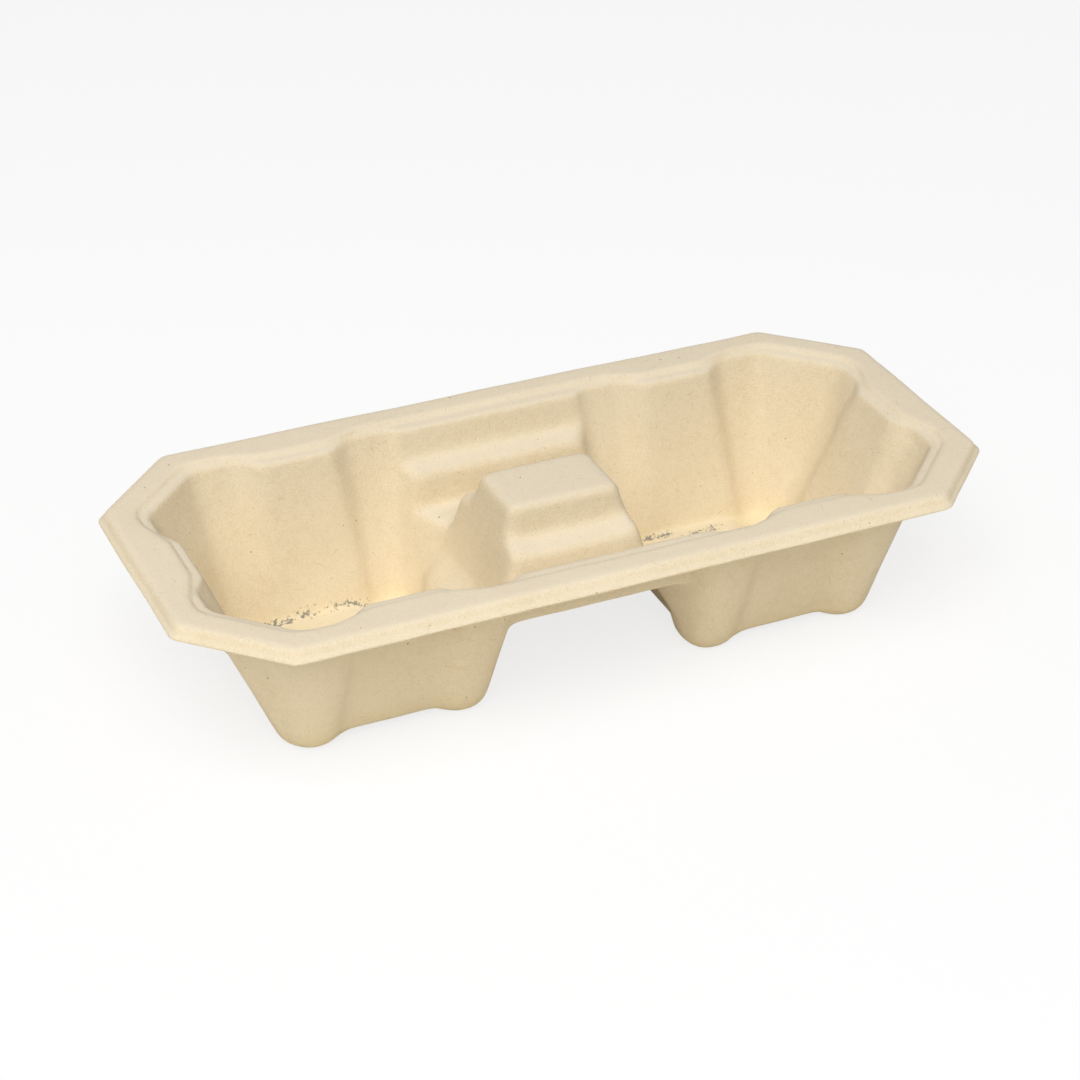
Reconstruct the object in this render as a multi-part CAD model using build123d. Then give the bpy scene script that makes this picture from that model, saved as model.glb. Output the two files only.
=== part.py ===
"""Moulded pulp carrier for two cups, in millimetres.

Z is up, X runs along the length, and the origin lies on the table under the middle of the carrier.
The carrier is one sheet of even wall, so each hollow is described once and built twice: as it is, for
the face that the cups touch, and grown by the wall, for the face underneath.
"""
import os
from math import cos, radians, sin, tan

from build123d import *

# The whole carrier
length = 220.0
width = 104.5
height = 46.6
corner_cut = 22.6
wall = 1.6

# The rim: a flat flange with a turned-down skirt that ends in a thin trimmed lip
skirt_depth = 3.6
lip_reach = 1.3
lip_thickness = 1.0
shoulder_radius = 2.0
rim_corner_radius = 4.0

# The step inside the flange, whose line dips inwards beside each cup and at each end
flange_width = 9.2
end_flange_width = 8.5
step_depth = 1.2
step_edge_radius = 0.8
side_dip = 3.4
side_dip_half_length = 9.0
side_dip_run = 10.0
end_dip = 3.6
end_dip_half_length = 8.0
end_dip_run = 11.0
step_line_radius = 8.0

# The cup wells: four lobes, each standing on a foot, with the walls bulging inwards between the lobes
well_centre = 54.6
foot_spread_x = 19.2
foot_spread_y = 20.5
foot_radius = 6.2
lobe_radius_at_foot = 5.2
lobe_radius_at_rim = 7.0
bulge_radius = 5.0
well_bottom_radius = 4.5
well_heel_radius = 7.5
well_heel_bite = 0.3
well_mouth_radius = 1.5

# Drafts of the well walls, from the vertical, in degrees
lobe_side_draft = 18.3
lobe_flank_draft = 15.8
lobe_inner_draft = 15.1
corner_draft = 17.5
end_draft = 23.0
end_flank_draft = 22.6
side_bulge_draft = 15.4
end_bulge_draft = 22.4
saddle_end_draft = 15.0

# Directions that the slanting lobe walls face, in plan, in degrees from the X axis
inner_wall_facing = 150.0
near_flank_facing = 52.0
far_flank_facing = 128.0
corner_facing = 45.0
end_flank_facing = -30.0

# Places of the bulging walls, measured at the foot level
side_bulge_reach = 24.3
end_bulge_reach = 22.5

# The raised pad on each well floor, which leaves the four feet standing lower
pad_rise = 3.0
pad_half_x = 9.0
pad_half_y = 11.0
pad_run = 9.0

# The channel across the middle, with one ledge along each long wall
channel_mouth_half = 38.9
channel_depth = 20.5
channel_floor_half = 29.4
long_ledge_drop = 9.6
long_ledge_outer = 36.6
long_ledge_inner = 30.8
ledge_slope = 1.0
channel_edge_radius = 2.8
channel_floor_radius = 1.2

# The saddle that stands in the channel, level with the step, with one ledge along each side
saddle_top_half = 10.0
saddle_top_half_length = 14.8
saddle_ledge_drop = 10.0
saddle_ledge_inner = 11.8
saddle_ledge_outer = 17.8
saddle_foot_half = 19.5
saddle_corner_radius = 2.6
saddle_top_radius = 2.4

# Levels that several forms share
rim_top = height
step_level = rim_top - step_depth
foot_level = wall
over_rim = rim_top + 1.0


def octagon(inset):
    """Plan of the rim with its four corners cut at 45 degrees, drawn inside the lip by an even inset."""
    half_x = length / 2 - inset
    half_y = width / 2 - inset
    cut = corner_cut - inset * (2 - 2**0.5)
    quarter = [(half_x, half_y - cut), (half_x - cut, half_y)]
    left_top = [(-x, y) for x, y in reversed(quarter)]
    bottom = [(x, -y) for x, y in reversed(quarter + left_top)]
    return quarter + left_top + bottom


def rounded_face(points, radii):
    """Flat face inside a closed outline of straight sides, with each corner rounded to its own radius."""
    arcs = []
    for i, radius in enumerate(radii):
        corner = Vector(*points[i])
        back = (Vector(*points[i - 1]) - corner).normalized()
        ahead = (Vector(*points[(i + 1) % len(points)]) - corner).normalized()
        half_angle = radians(back.get_angle(ahead)) / 2
        middle = corner + (back + ahead).normalized() * radius * (1 / sin(half_angle) - 1)
        setback = radius / tan(half_angle)
        arcs.append(ThreePointArc(corner + back * setback, middle, corner + ahead * setback))
    sides = [Line(arcs[i - 1] @ 1, arc @ 0) for i, arc in enumerate(arcs)]
    return make_face(arcs + sides)


def step_line():
    """Plan of the step inside the flange, with a dip beside each cup and one at each end."""
    half_x = length / 2 - end_flange_width
    half_y = width / 2 - flange_width
    slant = (length + width) / 2 - corner_cut - flange_width * 2**0.5
    quarter = [
        (half_x - end_dip, end_dip_half_length),
        (half_x, end_dip_half_length + end_dip_run),
        (half_x, slant - half_x),
        (slant - half_y, half_y),
        (well_centre + side_dip_half_length + side_dip_run, half_y),
        (well_centre + side_dip_half_length, half_y - side_dip),
        (well_centre - side_dip_half_length, half_y - side_dip),
        (well_centre - side_dip_half_length - side_dip_run, half_y),
    ]
    left_top = [(-x, y) for x, y in reversed(quarter)]
    bottom = [(x, -y) for x, y in reversed(quarter + left_top)]
    return quarter + left_top + bottom


def well_walls():
    """Walls of half a well, from the saddle round to the end: facing, reach at the foot level, draft."""
    near_foot = (well_centre - foot_spread_x, foot_spread_y)
    far_foot = (well_centre + foot_spread_x, foot_spread_y)
    saddle_end_reach = -saddle_top_half_length - (rim_top - foot_level) * tan(radians(saddle_end_draft))

    def beside(foot, facing, draft):
        angle = radians(facing)
        return facing, foot[0] * cos(angle) + foot[1] * sin(angle) + foot_radius, draft

    return [
        (180.0, saddle_end_reach, saddle_end_draft),
        beside(near_foot, inner_wall_facing, lobe_inner_draft),
        beside(near_foot, 90.0, lobe_side_draft),
        beside(near_foot, near_flank_facing, lobe_flank_draft),
        (90.0, side_bulge_reach, side_bulge_draft),
        beside(far_foot, far_flank_facing, lobe_flank_draft),
        beside(far_foot, 90.0, lobe_side_draft),
        beside(far_foot, corner_facing, corner_draft),
        beside(far_foot, 0.0, end_draft),
        beside(far_foot, end_flank_facing, end_flank_draft),
        (0.0, well_centre + end_bulge_reach, end_bulge_draft),
    ]


def crossing(first, second):
    """Point where two walls meet in plan, each given by its facing in radians and its reach."""
    (a, reach_a), (b, reach_b) = first, second
    turn = sin(b - a)
    return (reach_a * sin(b) - reach_b * sin(a)) / turn, (reach_b * cos(a) - reach_a * cos(b)) / turn


def well_plan(level, grow):
    """Plan of the right-hand well at a level, grown outwards by an even thickness."""
    rise = level - foot_level
    lines = []
    for facing, reach, draft in well_walls():
        lean = radians(draft)
        lines.append((radians(facing), reach + rise * tan(lean) + grow / cos(lean)))
    half = [crossing(lines[i], lines[i + 1]) for i in range(len(lines) - 1)]
    share = rise / (rim_top - foot_level)
    lobe = lobe_radius_at_foot + (lobe_radius_at_rim - lobe_radius_at_foot) * share + grow
    bulge = bulge_radius - grow
    radii = [lobe, lobe, lobe, bulge, bulge, lobe, lobe, lobe, lobe, bulge]
    points = half + [(x, -y) for x, y in reversed(half)]
    return Pos(0, 0, level) * rounded_face(points, radii + radii[::-1])


def hump(half_span, run, base, top):
    """Rounded hump, drawn in a vertical plane, that rises from the base to a flat top."""
    start = half_span + run
    below = base - pad_rise
    with BuildSketch() as sketch:
        with BuildLine():
            Line((-half_span, top), (half_span, top))
            Spline((half_span, top), (start, base), tangents=((1, 0), (1, 0)))
            Line((start, base), (start, below))
            Line((start, below), (-start, below))
            Line((-start, below), (-start, base))
            Spline((-start, base), (-half_span, top), tangents=((1, 0), (1, 0)))
        make_face()
    return sketch.sketch


def heel(grow):
    """Corner under the saddle's end that a large round takes off the bottom of the near feet."""
    slope = radians(saddle_end_draft)
    foot_line = saddle_top_half_length + (rim_top - foot_level) * tan(slope)
    setback = well_heel_radius * (1 / cos(slope) - tan(slope))
    place = Pos(foot_line + setback - well_heel_bite, foot_level + well_heel_radius - well_heel_bite)
    corner = Rectangle(length, height, align=(Align.MAX, Align.MAX))
    return extrude(Plane.XZ * (place * (corner - Circle(well_heel_radius + grow))), width, both=True)


def well(grow):
    """One cup well on the right, from its four feet up to the step inside the flange."""
    bottom = foot_level - grow
    body = loft([well_plan(bottom, grow), well_plan(step_level - grow, grow)], ruled=True)
    body = fillet(body.faces().sort_by(Axis.Z)[0].edges(), well_bottom_radius + grow)
    pad_top = foot_level + pad_rise - grow
    along = extrude(Plane.XZ * hump(pad_half_x, pad_run, bottom, pad_top), width, both=True)
    across = extrude(Plane.YZ * hump(pad_half_y, pad_run, bottom, pad_top), length, both=True)
    return body - Pos(well_centre, 0, 0) * along - across - heel(grow)


def channel(grow):
    """Channel across the middle: two stepped trenches that leave the saddle standing between them."""
    floor = rim_top - channel_depth
    trench = make_face(
        Polyline(
            (saddle_top_half, step_level),
            (saddle_ledge_inner, rim_top - saddle_ledge_drop),
            (saddle_ledge_outer, rim_top - saddle_ledge_drop - ledge_slope),
            (saddle_foot_half, floor),
            (channel_floor_half, floor),
            (long_ledge_inner, rim_top - long_ledge_drop - ledge_slope),
            (long_ledge_outer, rim_top - long_ledge_drop),
            (channel_mouth_half, step_level),
            close=True,
        )
    )
    on_ledges = [v for v in trench.vertices() if floor + 1 < v.Y < step_level - 1]
    trench = fillet(on_ledges, channel_edge_radius)
    on_floor = [v for v in trench.vertices() if v.Y < floor + 1]
    trench = offset(fillet(on_floor, channel_floor_radius), grow)
    reach = well_centre - foot_spread_x
    back = extrude(Plane.YZ * trench, reach, both=True)
    return back + mirror(back, Plane.XZ)


def edges_at(shape, level):
    """Edges of a shape that lie wholly in one horizontal plane."""
    return shape.edges().filter_by_position(Axis.Z, level - 0.01, level + 0.01)


def step_plan(grow):
    """Plan of the step at its own level, with the dips in its line softly rounded."""
    points = step_line()
    line = rounded_face(points, [step_line_radius] * len(points))
    return Pos(0, 0, step_level - grow) * offset(line, grow)


def mouth_edges(shape, on_saddle):
    """Edges that the hollows make with the floor of the step, round the saddle or everywhere else."""
    line = step_plan(0).face().outer_wire()
    chosen = []
    for edge in edges_at(shape, step_level):
        middle = edge @ 0.5
        beside_saddle = abs(middle.X) < well_centre - foot_spread_x and abs(middle.Y) < saddle_foot_half
        if beside_saddle == on_saddle and line.distance_to(middle) > step_edge_radius:
            chosen.append(edge)
    return chosen


def hollow(grow):
    """All that is hollow under the flange: both wells, the channel and the step, grown by a thickness."""
    right = well(grow)
    wells = right + mirror(right, Plane.YZ)
    trenches = channel(grow)
    joined = wells + trenches
    inside = step_level - grow - 0.01
    openings = [e for e in new_edges(wells, trenches, combined=joined) if (e @ 0.5).Z < inside]
    joined = fillet(openings, saddle_corner_radius - grow)
    return joined + extrude(step_plan(grow), wall if grow > 0 else over_rim - step_level)


def cup_side():
    """The hollows as the cups meet them, with the saddle's top edge and the mouths rounded."""
    shape = hollow(0)
    shape = fillet(mouth_edges(shape, True), saddle_top_radius)
    return fillet(mouth_edges(shape, False), well_mouth_radius)


def rim():
    """Flat flange with its turned-down skirt and the thin lip at the skirt's foot."""
    skirt_foot = rim_top - skirt_depth
    outer = rounded_face(octagon(lip_reach), [rim_corner_radius] * 8)
    block = extrude(Pos(0, 0, skirt_foot) * outer, skirt_depth)
    block = fillet(edges_at(block, rim_top), shoulder_radius)
    lip = extrude(Pos(0, 0, skirt_foot) * rounded_face(octagon(0), [rim_corner_radius] * 8), lip_thickness)
    inner = rounded_face(octagon(lip_reach + wall), [rim_corner_radius - wall] * 8)
    under = extrude(Pos(0, 0, skirt_foot) * inner, skirt_depth - wall)
    return block + lip - under


def carrier():
    """The whole carrier: the rim and the grown hollows as one body, less the hollows themselves."""
    body = rim() + hollow(wall) - cup_side()
    line = step_plan(0).face().outer_wire()
    edges = [e for e in edges_at(body, rim_top) if line.distance_to(e @ 0.5) < step_depth + 0.01]
    return fillet(edges, step_edge_radius)


os.makedirs("parts", exist_ok=True)
export_step(carrier(), "parts/cup_carrier.step")
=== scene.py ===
"""Looks of a moulded pulp carrier for two cups: the dried pulp sheet, a pale table and soft studio light.

Everything is in metres, with Z up and the origin on the table under the middle of the carrier.
"""

from math import radians

import bpy
from mathutils import Euler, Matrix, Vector


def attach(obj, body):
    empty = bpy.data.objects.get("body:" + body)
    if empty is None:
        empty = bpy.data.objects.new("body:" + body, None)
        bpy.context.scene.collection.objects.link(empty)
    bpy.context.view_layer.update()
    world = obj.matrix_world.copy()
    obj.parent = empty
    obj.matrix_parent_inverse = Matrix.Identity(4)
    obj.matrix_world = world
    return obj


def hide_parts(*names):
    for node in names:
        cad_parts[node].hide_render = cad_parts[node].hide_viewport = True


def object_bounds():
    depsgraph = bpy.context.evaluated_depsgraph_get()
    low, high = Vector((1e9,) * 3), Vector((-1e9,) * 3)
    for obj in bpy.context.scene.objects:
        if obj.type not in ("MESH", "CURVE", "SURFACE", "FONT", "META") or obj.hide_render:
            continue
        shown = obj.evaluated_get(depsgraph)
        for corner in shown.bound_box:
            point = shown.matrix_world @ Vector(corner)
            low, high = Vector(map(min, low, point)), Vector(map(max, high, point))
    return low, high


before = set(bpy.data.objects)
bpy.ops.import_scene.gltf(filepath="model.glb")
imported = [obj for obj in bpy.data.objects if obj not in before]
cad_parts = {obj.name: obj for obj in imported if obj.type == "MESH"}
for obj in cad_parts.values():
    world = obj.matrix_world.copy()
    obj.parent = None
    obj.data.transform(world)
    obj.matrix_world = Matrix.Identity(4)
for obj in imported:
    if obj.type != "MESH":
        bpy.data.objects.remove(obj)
cad_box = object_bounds()
bpy.ops.object.select_all(action="DESELECT")


# The moulded sheet
# The carrier is one sheet of wet paper pulp, sucked onto a mould and dried. Its edges are rounder than the
# mould's, most of all at the ends of the saddle, and its faces are never quite flat.
pulp_grain_size = 0.0006
mould_softening = 30
saddle_end_softening = 26
ledge_end_lift = 0.0009
heel_setback = 0.004
heel_lift = 0.0015
wall_waviness = 0.0004
wave_length = 0.022
triangle_limit = 190000


def ramp(value, start, end):
    """Share from 0 to 1 as a value goes from the start to the end, eased at both."""
    share = min(max((value - start) / (end - start), 0.0), 1.0)
    return share * share * (3 - 2 * share)


def weigh(thing, name, share):
    """Gives every point of a mesh a share in a vertex group, worked out from where the point lies."""
    group = thing.vertex_groups.new(name=name)
    for point in thing.data.vertices:
        weight = share(point.co)
        if weight > 0:
            group.add([point.index], weight, "REPLACE")
    return group.name


def apply(thing, kind, **settings):
    """Adds a modifier with its settings and applies it."""
    modifier = thing.modifiers.new(kind.lower(), kind)
    for name, value in settings.items():
        setattr(modifier, name, value)
    bpy.ops.object.modifier_apply(modifier=modifier.name)


def mould_share(point):
    """All but the rim, whose step and thin lip stay crisp."""
    return 1.0 - 0.8 * ramp(point.z, 0.0405, 0.0425)


def saddle_end_share(point):
    """The ends of the saddle and of the channel's floor, where the sheet turns down into the wells."""
    along = ramp(abs(point.x), 0.008, 0.014) * ramp(abs(point.x), 0.034, 0.027)
    return along * ramp(abs(point.y), 0.036, 0.029) * ramp(point.z, 0.014, 0.022)


def ledge_end_share(point):
    """The four ends of the ledges beside the saddle, where the sheet bridges the corner."""
    along = ramp(abs(point.x), 0.010, 0.0165)
    across = ramp(abs(point.y), 0.0095, 0.0125) * ramp(abs(point.y), 0.0195, 0.016)
    return along * across * ramp(point.z, 0.031, 0.035) * ramp(point.z, 0.0430, 0.0395)


def heel_share(point, side):
    """The foot of the wall between the near feet and the saddle, on one side of the carrier."""
    x = point.x * side
    along = ramp(x, 0.016, 0.020) * ramp(x, 0.041, 0.030)
    return along * ramp(abs(point.y), 0.025, 0.014) * ramp(point.z, 0.022, 0.010)


carrier = bpy.data.objects.new("pulp_moulding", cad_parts["cup_carrier"].data.copy())
bpy.context.scene.collection.objects.link(carrier)
bpy.context.view_layer.objects.active = carrier
carrier.select_set(True)
bpy.ops.object.mode_set(mode="EDIT")
bpy.ops.mesh.select_all(action="SELECT")
bpy.ops.mesh.remove_doubles(threshold=0.000001)
bpy.ops.object.mode_set(mode="OBJECT")

apply(carrier, "REMESH", mode="VOXEL", voxel_size=pulp_grain_size)
ledge_ends = weigh(carrier, "ledge_ends", ledge_end_share)
apply(carrier, "DISPLACE", vertex_group=ledge_ends, direction="Z", strength=ledge_end_lift, mid_level=0.0)
for side in (-1, 1):
    heel = weigh(carrier, "heel", lambda point: heel_share(point, side))
    setback = side * heel_setback
    apply(carrier, "DISPLACE", vertex_group=heel, direction="X", strength=setback, mid_level=0.0)
    apply(carrier, "DISPLACE", vertex_group=heel, direction="Z", strength=heel_lift, mid_level=0.0)
mould = weigh(carrier, "mould", mould_share)
apply(carrier, "SMOOTH", vertex_group=mould, factor=0.5, iterations=mould_softening)
saddle_ends = weigh(carrier, "saddle_ends", saddle_end_share)
apply(carrier, "SMOOTH", vertex_group=saddle_ends, factor=0.5, iterations=saddle_end_softening)

waves = bpy.data.textures.new("drying_waves", "CLOUDS")
waves.noise_scale = wave_length
waves.noise_depth = 1
apply(carrier, "DISPLACE", texture=waves, texture_coords="GLOBAL", strength=wall_waviness, mid_level=0.5)

triangles = sum(len(face.vertices) - 2 for face in carrier.data.polygons)
apply(carrier, "DECIMATE", ratio=min(1.0, triangle_limit / triangles))
bpy.ops.object.shade_smooth()

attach(carrier, "root")
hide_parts("cup_carrier")


# The pulp's surface
# Unbleached plant fibre, pale straw in colour and quite matt. Darker specks and short fibres lie in it, the
# low corners where it dried last are yellower, and grey scuffs lie in the creases of the floors.
pulp_pale = (0.81, 0.70, 0.505, 1)
pulp_dark = (0.715, 0.585, 0.375, 1)
# Painted light: the paler colour painted on the up-facing faces, as lit from above
pulp_painted_top_light = (0.785, 0.69, 0.54, 1)
pulp_yellow = (0.81, 0.68, 0.375, 1)
speck_brown = (0.33, 0.205, 0.10, 1)
fibre_brown = (0.42, 0.29, 0.155, 1)
scuff_grey = (0.23, 0.215, 0.185, 1)
cloud_scale = 45.0
mottle_scale = 420.0
felt_scale = 2200.0
screen_scale = 1100.0
relief_depth = 0.00022


def add_node(tree, kind, inputs=None, **settings):
    """Adds a shader node, with its settings, its values and its links."""
    node = tree.nodes.new(kind)
    for name, value in settings.items():
        setattr(node, name, value)
    for socket, value in (inputs or {}).items():
        if isinstance(value, bpy.types.NodeSocket):
            tree.links.new(value, node.inputs[socket])
        else:
            node.inputs[socket].default_value = value
    return node


def maths(tree, operation, *values):
    """Adds a scalar calculation and returns its result."""
    return add_node(tree, "ShaderNodeMath", dict(enumerate(values)), operation=operation).outputs[0]


def vector_maths(tree, operation, *values):
    """Adds a vector calculation and returns its node."""
    return add_node(tree, "ShaderNodeVectorMath", dict(enumerate(values)), operation=operation)


def eased(tree, value, start, end, low=0.0, high=1.0):
    """Share that runs smoothly from low to high as a value goes from the start to the end."""
    settings = {"Value": value, "From Min": start, "From Max": end, "To Min": low, "To Max": high}
    return add_node(tree, "ShaderNodeMapRange", settings, interpolation_type="SMOOTHSTEP").outputs[0]


def mix_colours(tree, share, first, second):
    """Mixes two colours by a share of the second."""
    return add_node(tree, "ShaderNodeMix", {0: share, 6: first, 7: second}, data_type="RGBA").outputs[2]


def new_group(name, inputs, output):
    """Starts a node group and returns it with its tree's inputs and its output node."""
    group = bpy.data.node_groups.new(name, "ShaderNodeTree")
    for label, kind in inputs:
        group.interface.new_socket(label, in_out="INPUT", socket_type=kind)
    group.interface.new_socket(output, in_out="OUTPUT", socket_type="NodeSocketFloat")
    return group, group.nodes.new("NodeGroupInput").outputs, group.nodes.new("NodeGroupOutput").inputs[0]


# Round specks scattered through the pulp, each in its own cell, in a share of the cells
specks, given, result = new_group(
    "specks", [("Place", "NodeSocketVector"), ("Scale", "NodeSocketFloat"), ("Size", "NodeSocketFloat"),
               ("Share", "NodeSocketFloat")], "Mask"
)
bend = add_node(specks, "ShaderNodeTexNoise", {"Vector": given["Place"], "Scale": 2600.0, "Detail": 1.0})
bent = vector_maths(specks, "MULTIPLY_ADD", bend.outputs["Color"], (0.0003, 0.0003, 0.0003), given["Place"])
cells = add_node(specks, "ShaderNodeTexVoronoi", {"Vector": bent.outputs[0], "Scale": given["Scale"]})
chance = add_node(specks, "ShaderNodeSeparateColor", {"Color": cells.outputs["Color"]}).outputs
radius = maths(specks, "MULTIPLY", maths(specks, "MULTIPLY_ADD", chance[1], 0.8, 0.4), given["Size"])
radius = maths(specks, "MULTIPLY", radius, given["Scale"])
spot = eased(specks, maths(specks, "DIVIDE", cells.outputs["Distance"], radius), 1.0, 0.55)
chosen = maths(specks, "LESS_THAN", chance[0], given["Share"])
specks.links.new(maths(specks, "MULTIPLY", spot, chosen), result)

# Short straight fibres that lie flat in the surface, each in its own cell
fibres, given, result = new_group(
    "fibres", [("Place", "NodeSocketVector"), ("Scale", "NodeSocketFloat"), ("Length", "NodeSocketFloat"),
               ("Width", "NodeSocketFloat"), ("Share", "NodeSocketFloat")], "Mask"
)
bend = add_node(fibres, "ShaderNodeTexNoise", {"Vector": given["Place"], "Scale": 500.0, "Detail": 0.0})
bent = vector_maths(fibres, "MULTIPLY_ADD", bend.outputs["Color"], (0.0008, 0.0008, 0.0008), given["Place"])
cells = add_node(fibres, "ShaderNodeTexVoronoi", {"Vector": bent.outputs[0], "Scale": given["Scale"]})
facing = add_node(fibres, "ShaderNodeNewGeometry").outputs["Normal"]
offset = vector_maths(fibres, "SUBTRACT", bent.outputs[0], cells.outputs["Position"]).outputs[0]
lean = vector_maths(fibres, "SUBTRACT", cells.outputs["Color"], (0.5, 0.5, 0.5)).outputs[0]
run = vector_maths(fibres, "CROSS_PRODUCT", lean, facing).outputs[0]
run = vector_maths(fibres, "NORMALIZE", run).outputs[0]
along = vector_maths(fibres, "DOT_PRODUCT", offset, run).outputs["Value"]
sideways = vector_maths(fibres, "CROSS_PRODUCT", run, facing).outputs[0]
across = maths(fibres, "ABSOLUTE", vector_maths(fibres, "DOT_PRODUCT", offset, sideways).outputs["Value"])
depth = maths(fibres, "ABSOLUTE", vector_maths(fibres, "DOT_PRODUCT", offset, facing).outputs["Value"])
chance = add_node(fibres, "ShaderNodeSeparateColor", {"Color": cells.outputs["Color"]}).outputs
thin = eased(fibres, maths(fibres, "DIVIDE", across, given["Width"]), 1.0, 0.4)
short = eased(fibres, maths(fibres, "DIVIDE", maths(fibres, "ABSOLUTE", along), given["Length"]), 1.0, 0.7)
near = maths(fibres, "LESS_THAN", depth, given["Length"])
chosen = maths(fibres, "LESS_THAN", chance[2], given["Share"])
drawn = maths(fibres, "MULTIPLY", thin, short)
allowed = maths(fibres, "MULTIPLY", near, chosen)
fibres.links.new(maths(fibres, "MULTIPLY", drawn, allowed), result)

# A scuffed patch, strongest at its centre and ragged at its edge
scuff, given, result = new_group(
    "scuff", [("Place", "NodeSocketVector"), ("Centre", "NodeSocketVector"),
              ("Reach", "NodeSocketVector")], "Mask"
)
offset = vector_maths(scuff, "SUBTRACT", given["Place"], given["Centre"]).outputs[0]
offset = vector_maths(scuff, "DIVIDE", offset, given["Reach"]).outputs[0]
away = vector_maths(scuff, "LENGTH", offset).outputs["Value"]
grit = {"Vector": given["Place"], "Scale": 900.0, "Detail": 3.0, "Roughness": 0.75}
ragged = add_node(scuff, "ShaderNodeTexNoise", grit)
edge = maths(scuff, "SUBTRACT", maths(scuff, "MULTIPLY_ADD", ragged.outputs["Fac"], 8.0, -3.2), away)
scuff.links.new(eased(scuff, edge, -0.2, 0.5), result)


def noise(tree, place, scale, detail, roughness):
    """Adds a noise texture and returns its value."""
    settings = {"Vector": place, "Scale": scale, "Detail": detail, "Roughness": roughness}
    return add_node(tree, "ShaderNodeTexNoise", settings).outputs["Fac"]


def masked(tree, group, place, **values):
    """Adds a node of one of the groups above and returns its mask."""
    node = tree.nodes.new("ShaderNodeGroup")
    node.node_tree = group
    tree.links.new(place, node.inputs["Place"])
    for name, value in values.items():
        node.inputs[name].default_value = value
    return node.outputs["Mask"]


pulp = bpy.data.materials.new("moulded_pulp")
pulp.use_nodes = True
tree = pulp.node_tree
surface = tree.nodes["Principled BSDF"]
surface.inputs["Roughness"].default_value = 0.92
surface.inputs["Specular IOR Level"].default_value = 0.2
surface.inputs["Sheen Weight"].default_value = 0.12
surface.inputs["Sheen Roughness"].default_value = 0.6

place = add_node(tree, "ShaderNodeTexCoord").outputs["Object"]
height = add_node(tree, "ShaderNodeSeparateXYZ", {"Vector": place}).outputs["Z"]
cloudy = noise(tree, place, cloud_scale, 3.0, 0.55)
mottle = noise(tree, place, mottle_scale, 4.0, 0.65)
felt = noise(tree, place, felt_scale, 3.0, 0.7)
tone = maths(tree, "MULTIPLY_ADD", cloudy, 0.45, maths(tree, "MULTIPLY", mottle, 0.4))
tone = maths(tree, "ADD", tone, maths(tree, "SUBTRACT", felt, 0.55))
base = mix_colours(tree, eased(tree, tone, 0.2, 0.75), pulp_pale, pulp_dark)

# Painted light: the up-facing faces are painted paler, for the cooler light that falls on them from above
normal = add_node(tree, "ShaderNodeNewGeometry").outputs["Normal"]
facing = add_node(tree, "ShaderNodeSeparateXYZ", {"Vector": normal})
base = mix_colours(tree, eased(tree, facing.outputs["Z"], 0.55, 0.97, 0.0, 0.6), base, pulp_painted_top_light)

# The screen's fine grain, which the faces painted paler on top keep too
grain = eased(tree, felt, 0.45, 0.72, 0.0, 0.3)
base = mix_colours(tree, grain, base, pulp_dark)

# Yellow where the wet pulp stayed longest: low on the walls and on the floors
wet = maths(tree, "MULTIPLY_ADD", cloudy, 0.008, maths(tree, "SUBTRACT", height, 0.004))
base = mix_colours(tree, eased(tree, wet, 0.010, 0.0, 0.0, 0.5), base, pulp_yellow)

for scale, size, share, strength in ((240.0, 0.00030, 0.5, 0.85), (620.0, 0.00014, 0.45, 0.55)):
    mask = masked(tree, specks, place, Scale=scale, Size=size, Share=share)
    base = mix_colours(tree, maths(tree, "MULTIPLY", mask, strength), base, speck_brown)
for scale, half_length, half_width, share in (
    (150.0, 0.0013, 0.00007, 0.35), (330.0, 0.0007, 0.00006, 0.3)
):
    mask = masked(tree, fibres, place, Scale=scale, Length=half_length, Width=half_width, Share=share)
    base = mix_colours(tree, maths(tree, "MULTIPLY", mask, 0.6), base, fibre_brown)

# Scuffs on the two floors: centre and reach along each axis
for centre, reach in (
    ((-0.0668, 0.0248, 0.0045), (0.0022, 0.0010, 0.0009)),
    ((-0.0630, 0.0246, 0.0049), (0.0034, 0.0010, 0.0010)),
    ((-0.0580, 0.0250, 0.0053), (0.0034, 0.0011, 0.0011)),
    ((-0.0486, 0.0252, 0.0056), (0.0026, 0.0008, 0.0009)),
    ((-0.0428, 0.0249, 0.0046), (0.0018, 0.0008, 0.0009)),
    ((0.0420, 0.0246, 0.0041), (0.0016, 0.0010, 0.0010)),
    ((0.0458, 0.0238, 0.0046), (0.0018, 0.0009, 0.0009)),
    ((0.0532, 0.0213, 0.0046), (0.0024, 0.0008, 0.0009)),
    ((0.0584, 0.0216, 0.0047), (0.0030, 0.0010, 0.0009)),
):
    mask = masked(tree, scuff, place, Centre=centre, Reach=reach)
    base = mix_colours(tree, maths(tree, "MULTIPLY", mask, 0.85), base, scuff_grey)
tree.links.new(base, surface.inputs["Base Color"])

# The screen's mesh and the felted fibres stand out a little from the surface
weave = {"Vector": place, "Scale": screen_scale, "Randomness": 0.45}
screen = add_node(tree, "ShaderNodeTexVoronoi", weave).outputs["Distance"]
relief = maths(tree, "MULTIPLY_ADD", screen, 0.35, felt)
relief = maths(tree, "MULTIPLY_ADD", mottle, 1.2, relief)
bump = add_node(tree, "ShaderNodeBump", {"Height": relief, "Strength": 0.5, "Distance": relief_depth})
tree.links.new(bump.outputs["Normal"], surface.inputs["Normal"])
carrier.data.materials.clear()
carrier.data.materials.append(pulp)


# The table
# A plain matt white table top, wide enough to fill the view, on which the carrier only stands. To the
# camera it is lifted towards pure white, and what it throws back onto the carrier is a little warmer.
table_width = 6
table_lift = 0.78
table_warm = (0.92, 0.89, 0.82, 1)
table_plain = (0.93, 0.93, 0.93, 1)

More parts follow.
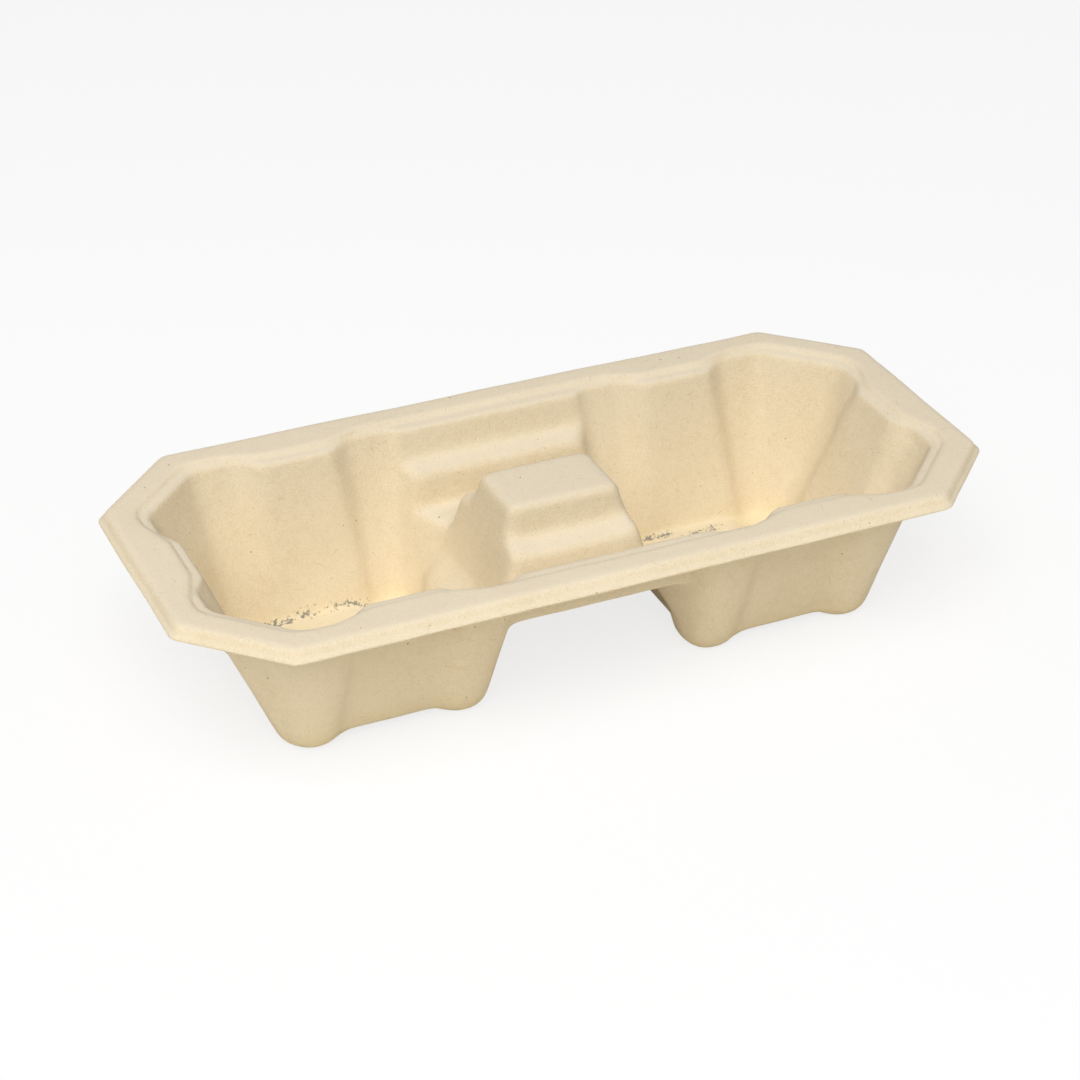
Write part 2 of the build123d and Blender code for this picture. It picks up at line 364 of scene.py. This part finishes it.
bpy.ops.mesh.primitive_plane_add(size=table_width, location=(0, 0, 0))
table = bpy.context.object
table.name = "table_top"
white = bpy.data.materials.new("white_table")
white.use_nodes = True
tree = white.node_tree
surface = tree.nodes["Principled BSDF"]
surface.inputs["Roughness"].default_value = 0.9
surface.inputs["Specular IOR Level"].default_value = 0.0
glow = add_node(tree, "ShaderNodeEmission", {"Color": (1, 1, 1, 1), "Strength": 1.0})
seen = add_node(tree, "ShaderNodeLightPath").outputs["Is Camera Ray"]
shade = mix_colours(tree, seen, table_warm, table_plain)
tree.links.new(shade, surface.inputs["Base Color"])
lift = maths(tree, "MULTIPLY", seen, table_lift)
mixed = add_node(tree, "ShaderNodeMixShader", {0: lift, 1: surface.outputs[0], 2: glow.outputs[0]})
tree.links.new(mixed.outputs[0], tree.nodes["Material Output"].inputs["Surface"])
table.data.materials.append(white)


# The light
# A wide soft lamp above the camera's side and a pale surround that is warmer towards the horizon, as in a
# small light tent.
zenith_colour = (1.0, 1.0, 1.0, 1)
horizon_colour = (0.22, 0.20, 0.17, 1)
surround_strength = 0.41
lamp_width = 1.2
lamp_power = 21.5
lamp_direction = (-0.3, -0.5, 0.8)
lamp_distance = 1.5

surround = bpy.data.worlds.new("light_tent")
surround.use_nodes = True
tree = surround.node_tree
way = add_node(tree, "ShaderNodeTexCoord").outputs["Generated"]
up = add_node(tree, "ShaderNodeSeparateXYZ", {"Vector": way}).outputs["Z"]
sky = mix_colours(tree, eased(tree, up, 0.1, 0.9), horizon_colour, zenith_colour)
tree.links.new(sky, tree.nodes["Background"].inputs["Color"])
tree.nodes["Background"].inputs["Strength"].default_value = surround_strength
bpy.context.scene.world = surround

lamp = bpy.data.lights.new("soft_box", "AREA")
lamp.shape = "SQUARE"
lamp.size = lamp_width
lamp.energy = lamp_power
soft_box = bpy.data.objects.new("soft_box", lamp)
bpy.context.scene.collection.objects.link(soft_box)
soft_box.location = Vector(lamp_direction).normalized() * lamp_distance
soft_box.rotation_euler = soft_box.location.to_track_quat("Z", "Y").to_euler()


# The camera
# The photograph's own viewing angle, measured from the rim's outline: above one long side, through a long
# lens. The shifts are in the picture's plane.
azimuth = -24.27
elevation = 30.87
distance = 0.7074
shift_right = -0.00223
shift_up = -0.01667
focal_length = 92.97
sensor_width = 36

optics = bpy.data.cameras.new("view")
optics.lens = focal_length
optics.sensor_width = sensor_width
camera = bpy.data.objects.new("view", optics)
camera.rotation_euler = Euler((radians(90 - elevation), 0, radians(azimuth)))
camera.location = camera.rotation_euler.to_matrix() @ Vector((shift_right, shift_up, distance))
camera.location.z += cad_box[1].z
bpy.context.scene.collection.objects.link(camera)
bpy.context.scene.camera = camera
bpy.context.scene.view_settings.view_transform = "Standard"
